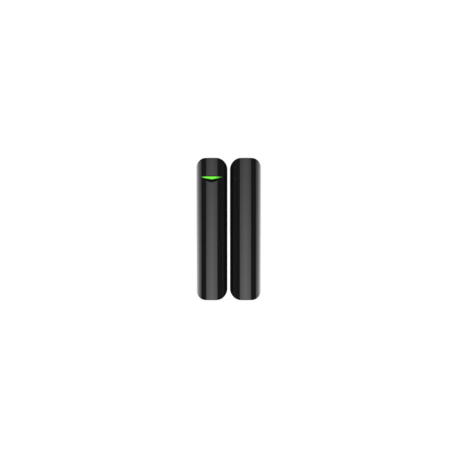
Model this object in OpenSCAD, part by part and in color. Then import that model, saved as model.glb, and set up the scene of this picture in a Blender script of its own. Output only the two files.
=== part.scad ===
// Wireless door contact sensor: a sensor pod with a status light and a matching magnet pod,
// each on its own sliding wall bracket. Millimetres. +Z runs up the pods, the fronts face -Y,
// and the origin is the middle of the sensor bracket's back face, which lies on y = 0.

/* [Pods] */
// Radius of the rounded front, half the width of a pod
body_r = 10; // [9.5:0.1:10.5]
// Height of a pod
body_l = 90; // [88:0.5:96]
// Depth from the mounting surface to the front
body_d = 22; // [21.8:0.1:23]
// Corner radius of the front view's outline, on the sides that face the gap
corner_r = 6.8; // [6:0.1:8]
// Corner radius of the casings' outer sides
outer_corner_r = 6; // [5:0.1:6]
// Gap between the two closed pods
pod_gap = 1.6; // [1:0.1:10]
// Wall thickness of the casings
wall = 1.3; // [1.1:0.05:1.3]

/* [Status light] */
// Height of the notch's upper lip above the middle
notch_z = 33.2; // [32.6:0.1:34]
// How far the notch is cut into the front
notch_d = 3; // [2.5:0.1:3.2]
// Height of the light window at its middle
window_h = 1.45; // [1.4:0.05:2.2]
// Rise of the window's lower edge towards its ends, per millimetre
window_rise = 0.16; // [0.1:0.01:0.18]
// Fall of the notch's lower faces towards the front, per millimetre
facet_fall = 0.74; // [0.4:0.01:0.8]

/* [Fixing] */
// Thickness of the brackets
bracket_t = 2; // [1.8:0.1:2]
// Radius of the screw holes in the brackets
fixing_r = 1.7; // [1.5:0.1:2]
// Distance of the two main screw holes from the middle
fixing_z = 38.5; // [38:0.5:39]
// Travel of a pod on its bracket's hooks
slide_travel = 5; // [4:0.5:5]
// Travel of the tamper plunger, released as its pod slides off
tamper_travel = 0.8; // [0.4:0.1:0.8]

/* [Cell] */
// Radius of the lithium cell
cell_r = 8.4; // [8:0.1:8.4]
// Length of the lithium cell with its terminal
cell_l = 34.5; // [33:0.5:34.5]

/* [Hidden] */
$fn = 96;

// Small distances used throughout
eps = 0.02;           // two faces that touch
fit = 0.1;            // a loose plastic fit
far = 60;             // past the end of anything
outline_over = 0.02;  // keeps the end corners just clear of tangency with the sides

// Planes along Y, from the wall to the front
axis_y = body_r - body_d;
slide_gap = 0.1;
base_back = -(bracket_t + slide_gap);
base_t = 1.2;
base_front = base_back - base_t;
rim_front = -6.5;
board_back = -8.2;
board_t = 1;
board_front = board_back - board_t;
window_y = axis_y - body_r + notch_d;
block_back = window_y + 1.8;
block_z = [notch_z - 4.9, notch_z + 1.3];
ledge_rise = 0.1;     // rise of the notch's top towards the window, per millimetre
ledge_z = notch_z + notch_d * ledge_rise;

// Outlines in the front view
inner_r = body_r - wall;
end_wall = 1.4;
inner_l = body_l - 2 * end_wall;
inner_corner = corner_r - wall;
base_w = 2 * (inner_r - fit);
base_l = inner_l - 2 * fit;
base_corner = inner_corner - fit;
rim_t = 0.8;
bracket_inset = 0.4;
magnet_x = 2 * body_r + pod_gap;

// Bracket hooks and the slots that they hold the pods by
hook_x = 6.2;
hook_w = 2;
hook_stem = 1.5;
hook_reach = 4;
hook_t = 1;
hook_zs = [18, -24];
slot_clear = 0.2;

// Screws that close the pods, by their heights
sensor_screw_zs = [-1.8, 40.2];
magnet_screw_zs = [-40.2, 40.2];
screw_r = 0.95;
screw_head_r = 1.75;
screw_head_t = 1.1;
screw_l = 7;
screw_recess = 1.4;
screw_seat_t = 1;
screw_cup_r = 2.9;
boss_r = 2.1;
seat_y = base_back - screw_recess - screw_seat_t;

// Breakaway tab, tamper plunger and power button
tab_w = 8.4;
tab_z = [5, 23.5];
tab_slot = 0.8;
tab_bridge = 1.2;
tab_hole_z = 9;
tamper_z = 16;
tamper_r = 1.5;
tamper_tip_r = 0.8;
button_z = 26.5;
button_r = 1.75;
stem_clear = 0.1;

// Cell bay, from the lower end up
cell_z0 = -body_l / 2 + 5;
cell_z1 = cell_z0 + cell_l;
nub_h = 1.1;
nub_r = 3.2;
contact_t = 0.3;
cradle_zs = [-32, -14];
wire_r = 0.5;

// Circuit board
board_w = 14.8;
board_z = [1, 37.4];
post_x = 6.2;
post_zs = [2.6, 34];
pin_r = 0.6;
led_z = notch_z - 0.9;

// Reed switches
reed_xs = [6, 3];
reed_z = [6, 20];
reed_r = 1.1;
reed_bore = 0.85;
reed_lead_r = 0.25;
reed_seal = 1;
reed_y = board_front - reed_r - 0.2;
blade_w = 1.2;
blade_t = 0.2;
blade_lap = 1.2;
blade_l = (reed_z[1] - reed_z[0] - 2 * reed_seal + blade_lap) / 2 - 0.1;

// Bar magnet
bar = [6, 8, 40];
bar_mid = [magnet_x - 3.2, -11, 13];

function unit(v) = v / norm(v);
function along(a, b, t) = a + (b - a) * t;

// ---- Shared shapes -------------------------------------------------------------------------

// Rounded rectangle about the origin
module outline(w, l, r) {
  square([w, l - 2 * r], center = true);
  square([w - 2 * r, l], center = true);
  for (x = [-1, 1], y = [-1, 1])
    translate([x * (w / 2 - r), y * (l / 2 - r)]) circle(r);
}

// Rounded plate seen from the front, between two planes along Y
module plate(w, l, r, back, front) {
  translate([0, back, 0]) rotate([90, 0, 0])
    linear_extrude(back - front) outline(w, l, r);
}

// Box given by its x and z spans, between two planes along Y
module slab(x, z, back, front) {
  translate([x[0], front, z[0]]) cube([x[1] - x[0], back - front, z[1] - z[0]]);
}

// Round pin or hole along Y at x, z
module rod(r, back, front, x = 0, z = 0, r2 = undef) {
  translate([x, back, z]) rotate([90, 0, 0])
    cylinder(h = back - front, r1 = r, r2 = is_undef(r2) ? r : r2);
}

// Pod shape: a rounded front swept up Z, trimmed by the front view's outline
module pod(r, l, corner, back) {
  intersection() {
    linear_extrude(l + 1, center = true) {
      translate([0, axis_y]) circle(r);
      translate([-r, axis_y]) square([2 * r, back - axis_y]);
    }
    plate(2 * (r + outline_over), l, corner, back, axis_y - r - 1);
  }
}

// Round bar swept along a list of points. up is never along the path.
module tube(path, r, up, sides = 8) {
  n = len(path);
  rings = [for (i = [0 : n - 1])
    let (
      t = unit(path[min(i + 1, n - 1)] - path[max(i - 1, 0)]),
      u = unit(cross(t, up)),
      v = cross(u, t)
    )
    for (k = [0 : sides - 1]) path[i] + r * (cos(360 * k / sides) * u + sin(360 * k / sides) * v)];
  faces = concat(
    [[for (k = [sides - 1 : -1 : 0]) k]],
    [for (i = [0 : n - 2], k = [0 : sides - 1])
      let (a = i * sides + k, b = i * sides + (k + 1) % sides)
      [a, b, b + sides, a + sides]],
    [[for (k = [0 : sides - 1]) (n - 1) * sides + k]]
  );
  polyhedron(rings, faces, convexity = 4);
}

// Points of a coil about +Z whose radius runs from r0 to r1
function coil(r0, r1, turns, h, steps = 20) =
  [for (i = [0 : turns * steps])
    let (t = i / (turns * steps), a = 360 * turns * t, r = r0 + (r1 - r0) * t)
    [r * cos(a), r * sin(a), h * t]];

// ---- Brackets ------------------------------------------------------------------------------

// Hook that stands on a bracket and points up behind a pod's base
module hook(x, z) {
  tip = base_front - slide_gap - hook_t;
  slab([x - hook_w / 2, x + hook_w / 2], [z, z + hook_stem], -bracket_t + 0.5, tip);
  slab([x - hook_w / 2, x + hook_w / 2], [z, z + hook_reach], base_front - slide_gap, tip);
}

// Countersunk screw hole, wide at the pod's side
module fixing_hole(z) {
  sink = 1.4;
  rod(fixing_r, 1, -bracket_t - 1, 0, z);
  rod(fixing_r, -bracket_t + sink, -bracket_t, 0, z, fixing_r + sink);
}

// Plate with hooks, screw holes and pockets for the tape. pads holds each pad's z span.
module bracket(pads) {
  difference() {
    union() {
      plate(2 * (body_r - bracket_inset), body_l - 2 * bracket_inset, corner_r - bracket_inset,
        0, -bracket_t);
      for (z = hook_zs, side = [-1, 1]) hook(side * hook_x, z);
    }
    for (z = [-fixing_z, fixing_z]) fixing_hole(z);
    for (z = pads) slab([-pad_w / 2, pad_w / 2], z, 1, -pad_t);
  }
}

pad_w = 13;
pad_t = 0.6;
sensor_pads = [[-34.5, -8], [25.5, 34.5]];
magnet_pads = [[-34.5, -8], [8, 34.5]];

module tape_pads(pads) {
  for (z = pads)
    slab([-pad_w / 2 + fit, pad_w / 2 - fit], [z[0] + fit, z[1] - fit], 0, -pad_t + eps);
}

// Slots round the breakaway tab, leaving thin bridges
module tab_perforation() {
  side_x = [tab_w / 2 - tab_slot, tab_w / 2];
  mid = (tab_z[0] + tab_z[1]) / 2;
  for (side = [-1, 1], half = [[tab_z[0], mid - tab_bridge / 2], [mid + tab_bridge / 2, tab_z[1]]])
    slab([min(side * side_x), max(side * side_x)], half, 1, -bracket_t - 1);
  for (z = [tab_z[0], tab_z[1] - tab_slot], side = [-1, 1])
    slab([min(side * tab_bridge / 2, side * tab_w / 2), max(side * tab_bridge / 2, side * tab_w / 2)],
      [z, z + tab_slot], 1, -bracket_t - 1);
}

// Ramp on the tab, down which the tamper plunger runs as the pod slides up
module tamper_ramp() {
  start = tamper_z - tamper_tip_r - 0.1;
  end = tamper_z + slide_travel + tamper_r + 0.1;
  fall = tamper_travel / slide_travel;
  deep = -bracket_t + fall * (end - start);
  translate([-tamper_r - 0.6, 0, 0]) rotate([90, 0, 90])
    linear_extrude(2 * (tamper_r + 0.6))
      polygon([[-bracket_t - 1, start], [-bracket_t, start], [deep, end], [-bracket_t - 1, end]]);
}

module sensor_bracket() color("#232325") {
  difference() {
    bracket(sensor_pads);
    tab_perforation();
    fixing_hole(tab_hole_z);
    tamper_ramp();
  }
}

module sensor_tape_pads() color("#c9c7c0") tape_pads(sensor_pads);

// ---- Bases ---------------------------------------------------------------------------------

// Recessed cup that a closing screw sits in
module screw_cup(z) {
  intersection() {
    rod(screw_cup_r, base_back, seat_y, 0, z);
    plate(base_w, base_l, base_corner, base_back, seat_y);
  }
}

module screw_cup_bore(z) {
  rod(screw_head_r + 0.15, 1, base_back - screw_recess, 0, z);
  rod(screw_r + 0.15, 1, seat_y - 1, 0, z);
}

// Tray that closes the back of a pod and slides on the hooks. Children stand on its floor.
module base_tray(screw_zs) {
  difference() {
    union() {
      plate(base_w, base_l, base_corner, base_back, base_front);
      difference() {
        plate(base_w, base_l, base_corner, base_back, rim_front);
        plate(base_w - 2 * rim_t, base_l - 2 * rim_t, base_corner - rim_t, base_back + 1, rim_front - 1);
      }
      for (z = screw_zs) screw_cup(z);
      children();
    }
    for (z = screw_zs) screw_cup_bore(z);
    for (z = hook_zs, side = [-1, 1])
      slab([side * hook_x - hook_w / 2 - slot_clear, side * hook_x + hook_w / 2 + slot_clear],
        [z - slide_travel - slot_clear, z + hook_stem + 0.05], 1, base_front - eps);
  }
}

// Rib across the tray with a round seat for the cell and a gap for the lead
module cell_cradle(z) {
  rib_t = 1.2;
  difference() {
    slab([-base_w / 2 + rim_t / 2, base_w / 2 - rim_t / 2], [z - rib_t / 2, z + rib_t / 2],
      base_front + 0.5, -7.2);
    translate([0, axis_y, z - rib_t]) cylinder(h = 2 * rib_t, r = cell_r + 0.2);
    slab([-7.7, -6.2], [z - rib_t, z + rib_t], -4.5, -8);
  }
}

// Walls that hold the two battery contacts
module contact_walls() {
  slab([-5.2, 3.8], [cell_z1 + contact_t + 3 * eps, cell_z1 + contact_t + 0.9], base_front + 0.5, -11);
  intersection() {
    slab([-5.6, 5.6], [-base_l / 2, -base_l / 2 + rim_t], base_front + 0.5, -11);
    plate(base_w, base_l, base_corner, base_back, -12);
  }
}

// Post with a locating pin for the circuit board
module board_post(x, z) {
  rod(1.2, base_front + 0.5, board_back, x, z);
  rod(pin_r, board_back + 0.5, board_front - 0.5, x, z);
}

module sensor_base() color("#1b1b1d") {
  difference() {
    base_tray(sensor_screw_zs) {
      for (z = cradle_zs) cell_cradle(z);
      contact_walls();
      for (x = [-post_x, post_x], z = post_zs) board_post(x, z);
    }
    rod(tamper_r + stem_clear, 1, base_front - 1, 0, tamper_z);
    rod(button_r + stem_clear, 1, base_front - 1, 0, button_z);
    slab([-label_w / 2 - fit, label_w / 2 + fit], [label_z[0] - fit, label_z[1] + fit],
      1, base_back - label_t);
  }
}

label_w = 9;
label_z = [-33, -12];
label_t = 0.1;

module id_label() color("#d8d8d4")
  slab([-label_w / 2, label_w / 2], label_z, base_back - eps, base_back - label_t);

// Pan-head screw with a cross recess, at height z
module housing_screw(z) {
  head_y = base_back - screw_recess + screw_head_t;
  difference() {
    union() {
      rod(screw_head_r - 0.25, head_y, head_y - 0.3, 0, z, screw_head_r);
      rod(screw_head_r, head_y - 0.3, base_back - screw_recess + eps, 0, z);
      rod(screw_r, base_back - screw_recess + 0.5, base_back - screw_recess - screw_l, 0, z);
    }
    for (turn = [0, 90])
      translate([0, head_y, z]) rotate([0, turn, 0])
        translate([-1, -0.6, -0.2]) cube([2, 1, 0.4]);
  }
}

module sensor_housing_screws() color("#b9bcc0") for (z = sensor_screw_zs) housing_screw(z);

// ---- Circuit board -------------------------------------------------------------------------

module circuit_board() color("#12402a") {
  difference() {
    slab([-board_w / 2, board_w / 2], board_z, board_back, board_front);
    for (x = [-post_x, post_x], z = post_zs)
      rod(pin_r + 0.05, board_back + 1, board_front - 1, x, z);
    slab([-1, 1], [board_z[0] - 1, board_z[0] + 1.2], board_back + 1, board_front - 1);
  }
}

// Part on the front of the board, by centre and size
module on_board(x, z, w, l, h) {
  slab([x - w / 2, x + w / 2], [z - l / 2, z + l / 2], board_front - eps, board_front - h);
}

shield = [-3.6, 9.6, 6.6, 11];

module radio_shield() color("#c4c7c9") {
  difference() {
    union() {
      on_board(shield[0], shield[1], shield[2], shield[3], 1.6);
      on_board(shield[0], shield[1], shield[2] - 0.4, shield[3] - 0.4, 1.9);
    }
    for (x = [-2, 0, 2], z = [-3.5, 0, 3.5])
      rod(0.4, board_front - 1.5, board_front - 3, shield[0] + x, shield[1] + z);
  }
}

module microcontroller() color("#2a2a2c") on_board(1.6, 28, 4, 4, 0.8);

module crystal() color("#d7d4c8") {
  on_board(-1.8, 29.6, 1.6, 2.5, 0.6);
  on_board(-1.8, 29.6, 1.2, 2.1, 0.8);
}

// Chip capacitors and resistors: centre x and z of each, all alike
chips = [[5.4, 24.2], [4, 24.2], [5.4, 26], [5.4, 27.6], [5.4, 29.2], [-4.4, 31], [-5.8, 31],
  [-0.6, 25], [0.6, 25], [1.8, 25], [0.6, 4], [0.6, 6]];

module ceramic_parts() color("#b79a6b") for (c = chips) on_board(c[0], c[1], 0.8, 1.4, 0.7);

module tantalum_capacitor() color("#d1922b") on_board(-6, 27.4, 1.8, 3.2, 1.5);

antenna_x = -3.4;
antenna_y = -13.4;
antenna_r = 2.2;
antenna_wire = 0.35;
antenna_z = 17.4;

// Wound aerial: a leg from the board, then a coil up the pod
module antenna_coil() color("#c77a3a") {
  turns = [for (p = coil(antenna_r, antenna_r, 8, 9.6, 16)) p + [antenna_x, antenna_y, antenna_z]];
  foot = turns[0];
  leg = [for (t = [0 : 0.25 : 0.9])
    along([foot[0], board_front - eps, foot[2] - 0.7], foot + [0, -0.4, -0.7], t)];
  tube(concat(leg, turns), antenna_wire, [0, 0, 1]);
}

module status_led() color("#f2f4ee") {
  on_board(0, led_z, 3, 1.4, 0.7);
  on_board(0, led_z, 2.4, 1.1, 1.1);
}

// ---- Reed switches -------------------------------------------------------------------------

module reed_glass_tubes() color("#bcd8cf", 0.35) {
  for (x = reed_xs) translate([x, reed_y, 0])
    difference() {
      translate([0, 0, reed_z[0]]) cylinder(h = reed_z[1] - reed_z[0], r = reed_r);
      translate([0, 0, reed_z[0] + reed_seal])
        cylinder(h = reed_z[1] - reed_z[0] - 2 * reed_seal, r = reed_bore);
      translate([0, 0, reed_z[0] - 1])
        cylinder(h = reed_z[1] - reed_z[0] + 2, r = reed_lead_r + eps);
    }
}

// Lead that leaves one end of a tube and turns down to the board
module reed_lead(z_in, z_out) {
  low = min(z_in, z_out);
  translate([0, reed_y, low]) cylinder(h = abs(z_out - z_in), r = reed_lead_r);
  rod(reed_lead_r, board_front - eps, reed_y, 0, z_out);
  translate([0, reed_y, z_out]) sphere(reed_lead_r);
}

module reed_fixed_leads() color("#a9aeb4") {
  top = reed_z[1] - reed_seal - 0.1;
  for (x = reed_xs) translate([x, 0, 0]) {
    reed_lead(reed_z[0] + reed_seal, reed_z[0] - 2);
    reed_lead(top - 0.4, reed_z[1] + 2);
    slab([-blade_w / 2, blade_w / 2], [top - blade_l, top], reed_y - eps / 2, reed_y - blade_t);
  }
}

module reed_moving_blades() color("#a9aeb4") {
  foot = reed_z[0] + reed_seal + 0.1;
  for (x = reed_xs)
    slab([x - blade_w / 2, x + blade_w / 2], [foot, foot + blade_l], reed_y + blade_t, reed_y + eps / 2);
}

// ---- Tamper switch and power button --------------------------------------------------------

tamper_flange_r = 2.3;
tamper_flange_t = 0.6;
tamper_rest_gap = tamper_travel + 0.2;
tamper_flange_y = base_front - tamper_rest_gap;
tamper_body_h = 1.8;
tamper_body_y = board_back + tamper_body_h;

// Switch housing on the back of the board, with a blind bore for its stem
module switch_body(z, w, h, bore) {
  difference() {
    union() {
      slab([-w / 2, w / 2], [z - w / 2, z + w / 2], board_back + h - 0.3, board_back + eps);
      rod(w / 2 - 0.4, board_back + h, board_back + h - 0.5, 0, z);
    }
    rod(bore, board_back + h + 1, board_back + 0.3, 0, z);
  }
}

module tamper_switch_body() color("#303236") switch_body(tamper_z, 6, tamper_body_h, tamper_r + stem_clear);

module tamper_spring() color("#b4b8bc") {
  wire = 0.14;
  h = tamper_flange_y - tamper_flange_t - tamper_body_y - 2 * wire - 2 * eps;
  turns = [for (p = coil(1.95, 1.95, 3, h, 18)) [p[0], tamper_body_y + wire + eps + p[2], tamper_z + p[1]]];
  tube(turns, wire, [0, 1, 0]);
}

module tamper_plunger() color("#e6e4dc") {
  tip_y = -bracket_t - eps;
  rod(tamper_tip_r, tip_y, tip_y - 0.5, 0, tamper_z, tamper_r);
  rod(tamper_r, tip_y - 0.5, tamper_body_y - 0.6, 0, tamper_z);
  rod(tamper_flange_r, tamper_flange_y, tamper_flange_y - tamper_flange_t, 0, tamper_z);
}

button_body_h = 2;

module power_switch_body() color("#303236") switch_body(button_z, 4.6, button_body_h, 1.2 + stem_clear);

module power_button() color("#3a3c40") {
  cap_y = base_back - 0.4;
  rod(button_r - 0.2, cap_y, cap_y - 0.2, 0, button_z, button_r);
  rod(button_r, cap_y - 0.2, board_back + button_body_h + 0.5, 0, button_z);
  rod(button_r + 0.6, base_front - 0.1, base_front - 0.8, 0, button_z);
  rod(1.2, board_back + button_body_h + 0.5, board_back + button_body_h - 0.6, 0, button_z);
}

// ---- Cell and its contacts -----------------------------------------------------------------

module at_cell(z) translate([0, axis_y, z]) children();

sleeve_t = 0.15;
seal_ring_r = nub_r + 1.2;

module cell_can() color("#c8cacc") {
  r = cell_r - sleeve_t;
  at_cell(cell_z0) cylinder(h = cell_z1 - nub_h - cell_z0, r = r);
  at_cell(cell_z1 - nub_h) cylinder(h = nub_h, r = nub_r);
}

module cell_sleeve() color("#26314a") {
  at_cell(cell_z0 + 0.2) difference() {
    cylinder(h = cell_z1 - nub_h - cell_z0 - 0.1, r = cell_r);
    translate([0, 0, -1]) cylinder(h = cell_l + 2, r = cell_r - sleeve_t + 0.01);
  }
}

module cell_seal_ring() color("#17181a") {
  at_cell(cell_z1 - nub_h + eps) difference() {
    cylinder(h = 0.3, r = seal_ring_r);
    translate([0, 0, -1]) cylinder(h = 3, r = nub_r + 0.05);
  }
}

// Sheet-metal plate against the terminal, with a tail along the floor to the board
module positive_contact() color("#c9b27a") {
  z = [cell_z1 + eps, cell_z1 + eps + contact_t];
  slab([-4, 4], z, -6.5, -15);
  slab([4, 4.8], z, -7.5, -10.6);
  slab([4, 4.8], [z[0], board_z[0] + 1.2], board_front - 0.45, board_front - 0.75);
  slab([4, 4.8], [board_z[0] + 0.9, board_z[0] + 1.2], board_front - eps, board_front - 0.75);
}

negative_plate = [-base_l / 2 + rim_t + eps, -base_l / 2 + rim_t + eps + contact_t];

module negative_contact() color("#c9b27a") {
  slab([-5, 5], negative_plate, -6.8, -16);
  slab([-5.95, -5], negative_plate, -7, -9.2);
}

module negative_spring() color("#b4b8bc") {
  wire = 0.3;
  h = cell_z0 - negative_plate[1] - 2 * wire - 2 * eps;
  turns = [for (p = coil(4.4, 2.4, 3, h, 24)) p + [0, axis_y, negative_plate[1] + wire + eps]];
  tube(turns, wire, [0, 0, 1]);
}

// Insulated lead in the corner of the tray, from the lower contact up to the board
lead_route = [[-5.4, -8, negative_plate[1] + eps], [-5.4, -8, -41.9], [-5.6, -7.3, -41.2],
  [-6, -6.3, -40.8], [-6.5, -5.6, -40.2], [-6.9, -5.35, -39.2],
  [-7, -5.3, -38], [-7, -5.3, -26], [-7, -5.3, -14], [-7, -5.3, -3],
  [-6.4, -5.4, -0.6], [-4.8, -5.8, 1], [-3.7, -6.5, 2], [-3.4, -7.2, 2.3],
  [-3.4, board_back + eps, 2.3]];

module negative_lead() color("#202225") tube(lead_route, wire_r, [1, 0.2, 0]);

// ---- Casings -------------------------------------------------------------------------------

// Column inside a casing that a closing screw bites in
module boss(z) {
  rod(boss_r, seat_y - 0.05, axis_y - inner_r - wall / 2, 0, z);
}

module boss_bore(z) {
  rod(screw_r + 0.05, seat_y + 1, seat_y - screw_l - 0.5, 0, z);
}

// Outer shape of a casing, with the wider corners on its right
module casing_body() {
  extra = 10;
  intersection() {
    pod(body_r, body_l, outer_corner_r, base_back);
    translate([-extra / 2, 0, 0])
      plate(2 * (body_r + outline_over) + extra, body_l, corner_r, base_back + 1, axis_y - body_r - 1);
  }
}

// Hollow pod with screw columns. Children stand inside, within its outer shape.
module casing(screw_zs) {
  difference() {
    union() {
      difference() {
        casing_body();
        pod(inner_r, inner_l, inner_corner, base_back + 1);
      }
      intersection() {
        casing_body();
        union() {
          for (z = screw_zs) boss(z);
          children();
        }
      }
    }
    for (z = screw_zs) boss_bore(z);
  }
}

// Front view of the light window, grown by clear: a flat top and a shallow V below
module window_shape(clear) {
  half = window_half + clear;
  top = ledge_z - notch_z - 0.15 + clear;
  side = window_h - window_rise * window_half + clear;
  polygon([[-half, top], [half, top], [half, -side], [0, -window_h - clear], [-half, -side]]);
}

// Right half of the notch: a top that rises to a flat back, and a lower face that falls to the front
module notch_half() {
  n = norm([window_rise, facet_fall, 1]);
  mouth = axis_y - body_r - 2;
  difference() {
    translate([-eps, 0, 0]) rotate([90, 0, 90])
      linear_extrude(body_r)
        polygon([[window_y, notch_z - 8], [mouth, notch_z - 8],
          [mouth, ledge_z - (window_y - mouth) * ledge_rise], [window_y, ledge_z]]);
    translate([0, window_y, notch_z - window_h])
      rotate([asin(facet_fall / n), -atan(window_rise), 0])
        translate([-far / 2, -far / 2, -far]) cube(far);
  }
}

window_half = 6.2;

module sensor_casing() color("#0c0c0d") {
  difference() {
    casing(sensor_screw_zs) slab([-body_r, body_r], block_z, block_back, axis_y - body_r);
    notch_half();
    mirror([1, 0, 0]) notch_half();
    translate([0, block_back + 1, notch_z]) rotate([90, 0, 0])
      linear_extrude(block_back + 1 - window_y + 0.5) window_shape(0.08);
  }
}

// Clear moulding: the lit window, a flange behind it and a fan that narrows to the LED
module light_guide() color("#4dff2e", 0.8) {
  front = window_y + 0.1;
  flange = [block_back + eps, block_back + 0.8];
  translate([0, flange[0] + 0.1, notch_z]) rotate([90, 0, 0])
    linear_extrude(flange[0] + 0.1 - front) window_shape(0);
  slab([-6.4, 6.4], [notch_z - 3, notch_z + 0.6], flange[1], flange[0]);
  translate([0, 0, led_z - 0.6]) linear_extrude(1.2)
    polygon([[-5.6, flange[1] - 0.2], [5.6, flange[1] - 0.2],
      [1.6, board_front - 1.3], [-1.6, board_front - 1.3]]);
}

module magnet_casing() color("#0c0c0d") at_magnet() mirror([1, 0, 0]) casing(magnet_screw_zs);

// ---- Magnet pod ----------------------------------------------------------------------------

module at_magnet() translate([magnet_x, 0, 0]) children();

module magnet_bracket() color("#232325") at_magnet() bracket(magnet_pads);

module magnet_tape_pads() color("#c9c7c0") at_magnet() tape_pads(magnet_pads);

bar_x = [bar_mid[0] - bar[0] / 2, bar_mid[0] + bar[0] / 2];
bar_y = [bar_mid[1] + bar[1] / 2, bar_mid[1] - bar[1] / 2];
bar_z = [bar_mid[2] - bar[2] / 2, bar_mid[2] + bar[2] / 2];

module bar_magnet() color("#b7babd") slab(bar_x, bar_z, bar_y[0], bar_y[1]);

// Ribs that hold the bar off the floor and at both sides and ends
module bar_seat() {
  x = [bar_x[0] - magnet_x, bar_x[1] - magnet_x];
  for (z = [bar_z[0] + 4, bar_z[1] - 4]) {
    slab([x[0] - 1, x[1] + 1], [z - 1, z + 1], base_front + 0.5, bar_y[0] + eps);
    for (side = [x[0] - 1.1, x[1] + fit])
      slab([side, side + 1], [z - 1, z + 1], base_front + 0.5, bar_mid[1]);
  }
  for (z = [bar_z[0] - 1.1, bar_z[1] + fit])
    slab([x[0], x[1]], [z, z + 1], base_front + 0.5, bar_mid[1]);
}

module magnet_base() color("#1b1b1d") at_magnet() base_tray(magnet_screw_zs) bar_seat();

module magnet_housing_screws() color("#b9bcc0")
  at_magnet() for (z = magnet_screw_zs) housing_screw(z);

// Sprung strap over the bar
module magnet_clip() color("#c3c6c8") {
  t = 0.4;
  z = [bar_mid[2] - 9, bar_mid[2] - 3];
  x = [bar_x[0] - eps, bar_x[1] + eps];
  slab([x[0] - t, x[1] + t], z, bar_y[1] - eps, bar_y[1] - t - eps);
  for (side = [x[0] - t, x[1]])
    slab([side, side + t], z, base_front - eps, bar_y[1] - t - eps);
  for (foot = [[x[0] - t - 1, x[0]], [x[1], x[1] + t + 1]])
    slab(foot, z, base_front - eps, base_front - eps - t);
}

module magnet_foam_pad() color("#3b3d40")
  slab([bar_x[0] + 0.5, bar_x[1] - 0.5], [bar_z[1] - 12, bar_z[1] - 2], bar_y[1] - eps, bar_y[1] - 3);

// ---- Nodes ---------------------------------------------------------------------------------

sensor_bracket();
sensor_tape_pads();
sensor_base();
sensor_housing_screws();
id_label();
circuit_board();
radio_shield();
microcontroller();
crystal();
ceramic_parts();
tantalum_capacitor();
antenna_coil();
status_led();
reed_glass_tubes();
reed_fixed_leads();
reed_moving_blades();
tamper_switch_body();
tamper_spring();
tamper_plunger();
power_switch_body();
power_button();
positive_contact();
negative_contact();
negative_spring();
negative_lead();
cell_can();
cell_sleeve();
cell_seal_ring();
sensor_casing();
light_guide();
magnet_bracket();
magnet_tape_pads();
magnet_base();
magnet_housing_screws();
bar_magnet();
magnet_clip();
magnet_foam_pad();
magnet_casing();
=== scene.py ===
"""Looks of a two-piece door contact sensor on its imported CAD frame. Metres, +Z up, fronts face -Y."""

import math

import bmesh
import bpy
from mathutils import Matrix, Vector


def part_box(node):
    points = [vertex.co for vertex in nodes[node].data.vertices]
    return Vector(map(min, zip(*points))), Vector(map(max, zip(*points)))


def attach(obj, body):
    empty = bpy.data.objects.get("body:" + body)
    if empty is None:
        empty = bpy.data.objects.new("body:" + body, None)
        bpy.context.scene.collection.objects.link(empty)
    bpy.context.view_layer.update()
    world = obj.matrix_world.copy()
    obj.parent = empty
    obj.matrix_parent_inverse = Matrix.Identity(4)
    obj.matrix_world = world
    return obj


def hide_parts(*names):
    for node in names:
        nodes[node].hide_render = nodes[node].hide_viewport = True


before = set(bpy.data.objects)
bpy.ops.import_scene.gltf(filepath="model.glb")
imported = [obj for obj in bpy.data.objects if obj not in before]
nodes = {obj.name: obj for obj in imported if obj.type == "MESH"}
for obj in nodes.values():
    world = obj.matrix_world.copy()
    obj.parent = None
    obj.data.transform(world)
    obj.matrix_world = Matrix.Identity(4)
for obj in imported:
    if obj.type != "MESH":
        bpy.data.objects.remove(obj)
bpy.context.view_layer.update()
scene = bpy.context.scene

MM = 0.001

# ---- Sizes, read from the frame where it has them ------------------------------------------

CASE_LOW, CASE_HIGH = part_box("sensor_casing")
MAGNET_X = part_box("magnet_casing")[0].x - CASE_LOW.x
BODY_R = (CASE_HIGH.x - CASE_LOW.x) / 2
HALF_L = (CASE_HIGH.z - CASE_LOW.z) / 2
FRONT_Y = CASE_LOW.y
BACK_Y = CASE_HIGH.y
AXIS_Y = FRONT_Y + BODY_R
WALL = 1.3 * MM
END_WALL = 1.4 * MM
CORNER_R = 6.8 * MM            # on the sides that face the gap
OUTER_CORNER_R = 6.0 * MM
EDGE_R = 0.22 * MM
EDGE_STEPS = 6
CAVITY_EDGE_R = 0.3 * MM
RIM_ROUND = 0.12 * MM
CUT_REACH = 1 * MM             # how far a cutting solid passes the face that it cuts

SCREW_LOW, SCREW_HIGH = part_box("sensor_housing_screws")
SCREW_HEAD_R = (SCREW_HIGH.x - SCREW_LOW.x) / 2
SENSOR_SCREWS = (SCREW_LOW.z + SCREW_HEAD_R, SCREW_HIGH.z - SCREW_HEAD_R)
MAGNET_SCREW_LOW, MAGNET_SCREW_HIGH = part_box("magnet_housing_screws")
MAGNET_SCREWS = (MAGNET_SCREW_LOW.z + SCREW_HEAD_R, MAGNET_SCREW_HIGH.z - SCREW_HEAD_R)
BOSS_R = 2.1 * MM
BOSS_BORE_R = 1.0 * MM
BOSS_BACK = -4.55 * MM
BOSS_FRONT = FRONT_Y + 0.65 * MM
BOSS_BORE_FRONT = -12 * MM

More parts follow.
